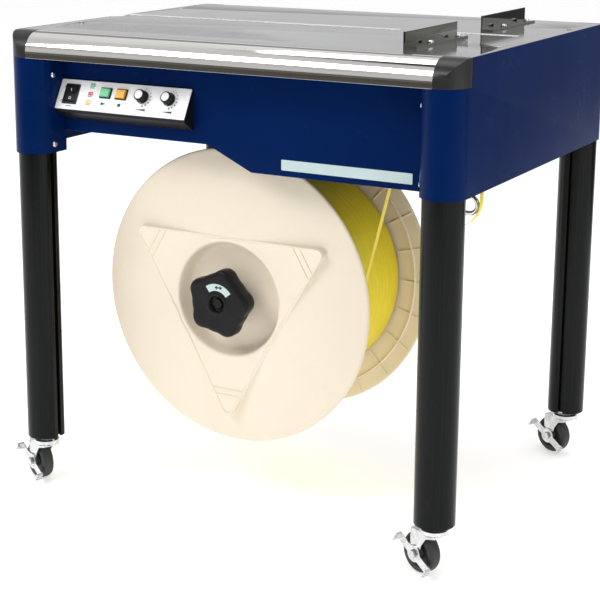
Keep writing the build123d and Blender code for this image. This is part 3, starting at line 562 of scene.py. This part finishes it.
def make_flange(node, y):
    """One flange: the moulded disc, then its tip ribs, webs and inner ring."""
    put = reel_point(y)
    material = materials["reel_plastic"]
    turns = {float(turn) for turn in range(-180, 180)}
    for tip in tip_turns:
        turns |= {tip + 0.25 * i for i in range(-16, 17)}
    turns = sorted((turn + 180) % 360 - 180 for turn in turns)
    turns = [radians(turn) for i, turn in enumerate(turns) if i == 0 or turn - turns[i - 1] > 0.01]
    sections = [flange_section(turn) for turn in turns]
    rings = [[put(section[row][0] * cos(turn), section[row][0] * sin(turn), section[row][1])
              for turn, section in zip(turns, sections)] for row in range(len(sections[0]))]
    place(skin(f"{node}_shell", rings, material, loop=True, smooth_angle=50), node)
    place(bars(f"{node}_tip_ribs", tip_ribs(), put, material, 0.6), node, replace=False)
    place(bars(f"{node}_webs", rim_webs(), put, material, 0.35), node, replace=False)
    profile = [(-0.3, 210.8), (4.4, 211.0), (5.0, 211.5), (5.0, 212.7), (4.4, 213.2), (-0.3, 213.4)]
    inward = (0, 1 if y < 0 else -1, 0)
    ring = lathe(f"{node}_ring", at(reel_x, y, reel_z), inward, profile, material, 160, loop=True)
    place(ring, node, replace=False)


make_flange("reel_front_flange", -190.0)
make_flange("reel_rear_flange", 38.0)

# ---------------------------------------------------------------- strap roll
roll_radius, roll_front, roll_rear = 181.0, -189.0, 37.0
core_radius, turns_radius = 101.5, 180.0  # of the solid body under the lanes
lane = 12.3
lane_section = ((-6.1, -0.5), (-5.75, -0.12), (-4.6, 0), (4.6, 0), (5.75, -0.12), (6.1, -0.5))
lane_steps = 96


def make_roll():
    """Wound strap: a solid core of turns under one helical layer of separate lanes."""
    put = reel_point(1.0)
    material = materials["yellow_strap"]
    corner = turns_radius - 0.8
    ends = [(roll_front, core_radius), (roll_front, corner), (roll_front + 0.6, turns_radius),
            (roll_rear - 0.6, turns_radius), (roll_rear, corner), (roll_rear, core_radius)]
    body = lathe("strap_roll_body", at(reel_x, 0, reel_z), (0, 1, 0), ends, material, 128, loop=True)
    place(body, "strap_roll")
    total = int(((roll_rear - roll_front) / lane + 1) * lane_steps)
    points, faces = [], []
    for i in range(total + 1):
        turn = 2 * pi * i / lane_steps
        reach = roll_radius - 0.2 + 0.12 * sin(turn * 0.37) + 0.08 * sin(turn * 1.7)
        middle = roll_front - lane / 2 + lane * i / lane_steps + 0.25 * sin(turn * 0.81)
        for across, drop in lane_section:
            y = min(roll_rear - 0.1, max(roll_front + 0.1, middle + across))
            points.append(put((reach + drop) * cos(turn), (reach + drop) * sin(turn), y - 1.0))
    width = len(lane_section)
    for i in range(total):
        for j in range(width - 1):
            here, there = i * width + j, (i + 1) * width + j
            # where the end of the roll cuts a lane off, its faces have no width and are left out
            if min(abs(points[a].y - points[a + 1].y) for a in (here, there)) > 1e-5:
                faces.append((here, here + 1, there + 1, there))
    place(mesh_object("strap_roll_lanes", points, faces, material), "strap_roll", replace=False)


make_roll()

# ---------------------------------------------------------------- knob
knob_front, knob_turn = -243.0, 78.0
knob_height = 28.0
lobe_centre, lobe_radius, waist_radius = 38, 18, 47.5


def knob_edge(turn):
    """Reach of the five-lobed hand knob, its creases rounded."""
    total = 0.0
    for lean in (-6, -3, 0, 3, 6):
        spread = abs((turn + lean - knob_turn + 36) % 72 - 36)
        offset = lobe_centre * sin(radians(spread))
        reach = 0.0
        if offset < lobe_radius:
            reach = lobe_centre * cos(radians(spread)) + sqrt(lobe_radius ** 2 - offset ** 2)
        total += max(reach, waist_radius)
    return total / 5


def make_knob():
    """The hand knob from its bolt recess out over the lobes and back to the foot of its shank."""
    put = reel_point(knob_front)
    material = materials["black_plastic"]
    turns = range(0, 360, 2)

    def ring(reach, depth):
        """One closed ring at a depth under the front; reach gives the radius at each turn."""
        return [put(reach(turn) * cos(radians(turn)), reach(turn) * sin(radians(turn)), -depth)
                for turn in turns]

    def circle(radius, depth):
        return ring(lambda turn: radius, depth)

    def lobed(inset, depth):
        return ring(lambda turn: knob_edge(turn) - inset, depth)

    rings = [circle(5, 9), circle(12.2, 9), circle(12.9, 8.2), circle(13.2, 1.4), circle(14.2, 0.4),
             circle(17, 0.1), circle(18.5, 0.9), circle(20, 1.0), circle(34, 1.0), lobed(10, 0.9),
             lobed(6, 0.9), lobed(3.4, 1.5), lobed(1.5, 3.0), lobed(0.4, 5.2), lobed(0, 8), lobed(0, 18),
             lobed(0.3, 24), lobed(1.2, 26.6), lobed(3.2, 27.9), lobed(7, knob_height),
             circle(28, knob_height), circle(26.3, 29), circle(26, 40), circle(25.6, 56.6),
             circle(24.6, 57.8), circle(13.4, 57.8)]
    place(skin("reel_knob_shell", rings, material, smooth_angle=50), "reel_knob")
    hexagon = [(8.2 * cos(radians(60 * i)), 8.2 * sin(radians(60 * i))) for i in range(6)]
    bolt = bevelled(slab("knob_bolt_head", hexagon, -9, -4.5, put, material), 0.7 * MM)
    place(bolt, "reel_knob", replace=False)
    band = arc(0, 0, 33, 38, 125, 24) + arc(0, 0, 22, 125, 38, 24)
    place(slab("knob_band", band, -1.1, -0.75, put, pale_print), "reel_knob", replace=False)
    arrow = [(-7, 0), (-2.6, 3.4), (-2.6, 1), (2.6, 1), (2.6, 3.4), (7, 0), (2.6, -3.4), (2.6, -1),
             (-2.6, -1), (-2.6, -3.4)]
    place(slab("knob_arrow", [(x + 4, y + 27.4) for x, y in arrow], -0.9, -0.6, put, dark_print), "reel_knob",
          replace=False)


make_knob()

# ---------------------------------------------------------------- control face
tilt = atan2(44.0, 24.0)
face_up = Vector((0, cos(tilt), sin(tilt)))
face_out = Vector((0, -sin(tilt), cos(tilt)))
face_centre = at(-196.5, -266.2, 659.5)
face_top = 1.6
lamp_rows = {"green": 18.0, "red": 3.5, "yellow": -10.5}
lamp_x = -60.5
dial_places = {"feed_dial": (38.5, 5.0), "tension_dial": (87.5, 5.0)}
switch_x = -97


def on_face(x, y, height):
    """A point given in millimetres from the middle of the control face, height being off the face."""
    return face_centre + Vector((x * MM, 0, 0)) + face_up * y * MM + face_out * height * MM


def make_lamps():
    """Three low lenses with rounded edges."""
    lenses = []
    for colour, y in lamp_rows.items():
        rings = []
        for inset, height in ((0, -2), (0, face_top + 0.3), (0.25, face_top + 0.6), (0.9, face_top + 0.85),
                              (2.0, face_top + 0.95)):
            rings.append([on_face(px, py, height) for px, py in
                          rounded_box(lamp_x, y, 8.8 - 2 * inset, 5.4 - 2 * inset, 0.7)])
        lenses.append(skin(f"lens_{colour}", rings, lamp_colours[colour]))
    place(join("indicator_lenses", lenses), "indicator_lamps")


def fluted(turn, radius):
    """Eighteen shallow grooves on the grip of a dial, and no change elsewhere."""
    return radius - (0.3 * max(0.0, sin(turn * 18)) if 8.5 < radius < 9.5 else 0.0)


def make_dial(node, x, y):
    """A dial: skirted fluted body, pale cap and a pale tick on the skirt."""
    spot = on_face(x, y, 0)
    profile = [(-6, 3.2), (2.1, 3.2), (2.1, 10.2), (2.4, 10.5), (4.6, 10.5), (5.1, 10.0), (5.5, 9.3),
               (6.2, 9.2), (13.6, 9.2), (14.5, 8.9), (15.0, 8.2), (15.1, 7.0)]
    body = lathe(f"{node}_body", spot, face_out, profile, materials["black_plastic"], 144, fluted)
    cap_profile = [(14.8, 6.9), (15.5, 6.9), (15.9, 6.5), (16.0, 5.6)]
    cap = lathe(f"{node}_cap", spot, face_out, cap_profile, white_cap, 48)
    line = [(x - 0.5, y - 10.2), (x + 0.5, y - 10.2), (x + 0.5, y - 9.2), (x - 0.5, y - 9.2)]
    tick = slab(f"{node}_tick", line, 4.9, 5.6, on_face, white_cap)
    place(join(f"{node}_shell", [body, cap, tick]), node)


def face_marks():
    """Generic print: dotted dial scales, short strokes by the lamps and switch, arrows and wedges."""
    shapes = []
    for x, y in dial_places.values():
        for i in range(8):
            turn = radians(76 - 22 * i)
            shapes.append(arc(x + 14.6 * cos(turn), y + 14.6 * sin(turn), 0.6 + 0.12 * i, 0, 337.5, 16))
        shapes.append([(x - 10, y - 20.4), (x + 10, y - 22.2), (x + 10, y - 18.4)])
    for y in lamp_rows.values():
        shapes.append(rounded_box(lamp_x, y - 4.6, 9, 1.0, 0.45, 3))
    shapes.append([(-36.5, -8.6), (-36.5, -13.8), (-27, -11.2)])
    shapes.append(rounded_box(-1.9, -11.2, 5.6, 5.0, 0.6, 3))
    shapes.append(rounded_box(-112.6, 12.5, 1.0, 4.2, 0.45, 3))
    shapes.append(rounded_box(switch_x, -19.4, 12, 1.0, 0.45, 3))
    shapes.append(ring_outline(-112.6, -11.5, 2.1, 1.3))
    prints = [slab(f"mark_{i}", shape, face_top - 0.02, face_top + 0.1, on_face, dark_print)
              for i, shape in enumerate(shapes)]
    place(join("face_marks", prints), "control_face", replace=False)


def rocker_marks():
    """On and off signs moulded in the two halves of the power switch."""
    lean = radians(7)
    up = face_up * cos(lean) + face_out * sin(lean)
    out = face_out * cos(lean) - face_up * sin(lean)
    middle = on_face(switch_x, 0.5, 1.0)

    def put(x, y, height):
        return middle + Vector((x * MM, 0, 0)) + (up * y + out * (1.8 + 0.2 * abs(y) + height)) * MM

    bar = slab("rocker_on", rounded_box(0, 6.8, 0.9, 4.4, 0.4, 3), -0.1, 0.12, put, white_cap)
    ring = slab("rocker_off", ring_outline(0, -6.8, 2.3, 1.5), -0.1, 0.12, put, white_cap)
    place(join("rocker_signs", [bar, ring]), "rocker_switch", replace=False)


make_lamps()
for node, (x, y) in dial_places.items():
    make_dial(node, x, y)
face_marks()
rocker_marks()

# ---------------------------------------------------------------- screws
cover_screw_x, cover_screw_y, cover_screw_heights = 320.0, 281.0, (580.0, 691.0)
stopper_screw_x, stopper_screw_rows, stopper_top = 273.0, (-158.0, -55.0, 127.0, 230.0), 763.0
plate_screw_x, plate_screw_rows, plate_screw_top = 370.0, (-135.0, 165.0), 760.3


def screw(name, centre, out, flush):
    """A cross-recessed screw: pan head, or flush countersunk head."""
    out = Vector(out)
    side = Vector((0, 1, 0)) if abs(out.y) < 0.5 else Vector((1, 0, 0))
    up = out.cross(side)
    count = 32
    if flush:
        profile = [(-10, 2.5), (-2.5, 2.5), (-0.15, 4.9), (0, 4.7), (0, 3.1)]
    else:
        profile = [(-10, 2.5), (0, 2.5), (0, 4.8), (0.5, 5.0), (1.5, 4.9), (2.5, 4.4), (3.3, 3.6),
                   (3.6, 2.9)]
    top = profile[-1][0]

    def put(x, y, height):
        return centre + (side * x + up * y + out * height) * MM

    turns = [2 * pi * i / count for i in range(count)]
    rings = [[put(radius * cos(turn), radius * sin(turn), height) for turn in turns]
             for height, radius in profile]
    points = [point for ring in rings for point in ring]
    faces = [(row * count + i, row * count + (i + 1) % count, (row + 1) * count + (i + 1) % count,
              (row + 1) * count + i) for row in range(len(rings) - 1) for i in range(count)]
    faces.append(tuple(range(count)))
    rim = len(points) - count
    half, reach, recess = 0.5, 2.3, 1.6  # of the cross
    star = []
    for quarter in range(4):
        turn = pi / 2 * quarter
        for x, y in ((reach, -half), (reach, half), (half, half)):
            star.append((x * cos(turn) - y * sin(turn), x * sin(turn) + y * cos(turn)))
    points += [put(x, y, top) for x, y in star] + [put(x * 0.6, y * 0.6, top - recess) for x, y in star]
    first = rim + count
    faces += [(first + i, first + (i + 1) % 12, first + 12 + (i + 1) % 12, first + 12 + i) for i in range(12)]
    faces.append(tuple(first + 12 + i for i in range(12)))
    for quarter in range(4):
        arm = first + quarter * 3
        next_arm = first + (quarter * 3 + 3) % 12
        span = [rim + (quarter * 8 + i) % count for i in range(-1, 2)]
        faces.append((*span, arm + 1, arm))
        curve = [rim + (quarter * 8 + i) % count for i in range(1, 8)]
        faces.append((*curve, next_arm, arm + 2, arm + 1))
    return mesh_object(name, points, faces, materials["zinc_steel"])


def make_screws():
    """Pan heads inside the side covers and on the stoppers, flush heads in the table plates."""
    up = (0, 0, 1)
    heads = []
    for side, end in ((-1, -1), (1, -1), (-1, 1), (1, 1)):
        for z in cover_screw_heights:
            spot = at(side * cover_screw_x, end * cover_screw_y, z)
            heads.append(screw("screw", spot, (-side, 0, 0), False))
    for y in stopper_screw_rows:
        heads.append(screw("screw", at(stopper_screw_x, y, stopper_top), up, False))
    for side in (-1, 1):
        for y in plate_screw_rows:
            heads.append(screw("screw", at(side * plate_screw_x, y, plate_screw_top), up, True))
    place(join("screw_heads", heads), "machine_screws")


make_screws()

# ---------------------------------------------------------------- trim on the body, and painted edge highlights
panel_front = -252.0
stripe_x, stripe_z, stripe_width, stripe_height = 186.5, 580, 213, 16
slot_front, slot_rear = 20.6, 24.6
slot_stretches = ((-386.0, 142.0), (196.0, 339.6))
side_stretches = ((-273.0, -28.0), (22.0, 273.0))

stripe = slab("panel_stripe", rounded_box(stripe_x, stripe_z, stripe_width, stripe_height, 1.5), 0.0, 0.15,
              lambda x, z, height: at(x, panel_front - height, z), pale_print)
place(stripe, "front_panel", replace=False)


def strip(left, right, front, rear, low, high):
    """Eight corners of an upright box, for bars()."""
    return [(x, y, z) for z in (low, high)
            for x, y in ((left, front), (right, front), (right, rear), (left, rear))]


# Painted highlights: white strips along the slot's two edges and the table's left edge stand in for light on
# those edges.
slot_highlight_strips = [strip(left, right, slot_front, slot_rear, 745.0, 760.35) for left, right in slot_stretches]
place(bars("slot_painted_highlight", slot_highlight_strips, at, painted_edge_highlight, 0.15), "table_plate_rear", replace=False)
side_highlight_strips = [strip(-386.2, -388.0, front, rear, 758.0, 760.6) for front, rear in side_stretches]
place(bars("side_painted_highlight", side_highlight_strips, at, painted_edge_highlight, 0.2), "side_cover_left", replace=False)

# ---------------------------------------------------------------- stage, light and camera
def card(name, outline, colour, glow=0.0, seen=True):
    """A flat studio surface off the machine. One that isn't seen only darkens reflections."""
    finish = Finish(name, 0.65, Emission_Color=(1, 1, 1, 1), Emission_Strength=glow)
    shade = [channel * 0.97 for channel in colour]
    finish.colour(finish.mix(finish.ramp(finish.noise(0.6, 2), 0.3, 0.7), shade, colour))
    surface = mesh_object(name, outline, [tuple(range(len(outline)))], finish.material)
    surface.visible_camera = surface.visible_diffuse = surface.visible_shadow = seen


floor_radius, lift = 40, 0.004
floor_edge = [(floor_radius * cos(pi * i / 32), floor_radius * sin(pi * i / 32), 0.0) for i in range(64)]
card("studio_floor", floor_edge, (0.92, 0.92, 0.92), 0.45)
card("flag_front", [(-14, -30, lift), (14, -30, lift), (14, -2.75, lift), (-14, -2.75, lift)],
     (0.085, 0.077, 0.057), seen=False)
card("flag_wall", [(-14, -12, 0.0), (14, -12, 0.0), (14, -12, 1.7), (-14, -12, 1.7)],
     (0.16, 0.15, 0.13), seen=False)
card("flag_right", [(1.1, 1.6, lift), (9, 1.6, lift), (9, 22, lift), (1.1, 12, lift)],
     (0.05, 0.06, 0.08), seen=False)


def area_light(name, location, target, size, power):
    """A rectangular soft box aimed at the target."""
    data = bpy.data.lights.new(name, "AREA")
    data.shape = "RECTANGLE"
    data.size, data.size_y = size
    data.energy = power
    light = bpy.data.objects.new(name, data)
    bpy.context.scene.collection.objects.link(light)
    light.location = location
    light.rotation_mode = "QUATERNION"
    light.rotation_quaternion = (Vector(target) - Vector(location)).to_track_quat("-Z", "Y")


area_light("key", (-1.8, -3.0, 3.2), (0, 0, 0.45), (2.4, 1.4), 75)
area_light("fill", (3.4, -1.6, 2.2), (0, 0, 0.4), (1.8, 2.4), 30)
area_light("top", (0.0, 0.2, 3.8), (0, 0, 0.5), (3.4, 1.6), 50)


def world_ramp(tree, source, stops):
    """Grey as a function of one direction component, which runs from -1 to 1."""
    spread = tree.nodes.new("ShaderNodeMapRange")
    spread.inputs["From Min"].default_value = -1.0
    spread.inputs["From Max"].default_value = 1.0
    tree.links.new(source, spread.inputs["Value"])
    ramp = tree.nodes.new("ShaderNodeValToRGB")
    tree.links.new(spread.outputs["Result"], ramp.inputs["Fac"])
    elements = ramp.color_ramp.elements
    while len(elements) < len(stops):
        elements.new(0.5)
    for element, (position, grey) in zip(elements, stops):
        element.position = position
        element.color = (grey, grey, grey, 1)
    return ramp.outputs["Color"]


def make_world():
    """Pale surroundings, whose dark bands overhead are what the polished parts reflect."""
    world = bpy.data.worlds.new("studio")
    bpy.context.scene.world = world
    world.use_nodes = True
    tree = world.node_tree
    split = tree.nodes.new("ShaderNodeSeparateXYZ")
    tree.links.new(tree.nodes.new("ShaderNodeTexCoord").outputs["Generated"], split.inputs[0])
    heights = world_ramp(tree, split.outputs["Z"], [
        (0.0, 0.5), (0.44, 0.7), (0.56, 0.95), (0.70, 0.85), (0.73, 0.36), (0.79, 0.36), (0.82, 1.0),
        (0.925, 1.0), (0.94, 0.08), (0.975, 0.08), (0.99, 1.1)])
    depths = world_ramp(tree, split.outputs["Y"], [(0.35, 0.78), (0.65, 1.0)])
    product = tree.nodes.new("ShaderNodeMix")
    product.data_type = "RGBA"
    product.blend_type = "MULTIPLY"
    product.inputs[0].default_value = 1.0
    tree.links.new(heights, product.inputs[6])
    tree.links.new(depths, product.inputs[7])
    background = tree.nodes["Background"]
    background.inputs["Strength"].default_value = 0.9
    tree.links.new(product.outputs[2], background.inputs["Color"])


make_world()
bpy.context.scene.view_settings.view_transform = "Standard"

camera_azimuth, camera_elevation = 30.797, 12.836
camera_data = bpy.data.cameras.new("camera")
camera = bpy.data.objects.new("camera", camera_data)
bpy.context.scene.collection.objects.link(camera)
bpy.context.scene.camera = camera
camera.location = (1.1901, -2.1866, 0.9996)
camera.rotation_euler = (radians(90 - camera_elevation), 0, radians(camera_azimuth))
camera_data.lens = 91.51
camera_data.sensor_width = 36.0
camera_data.shift_x = 0.087
camera_data.shift_y = -0.13
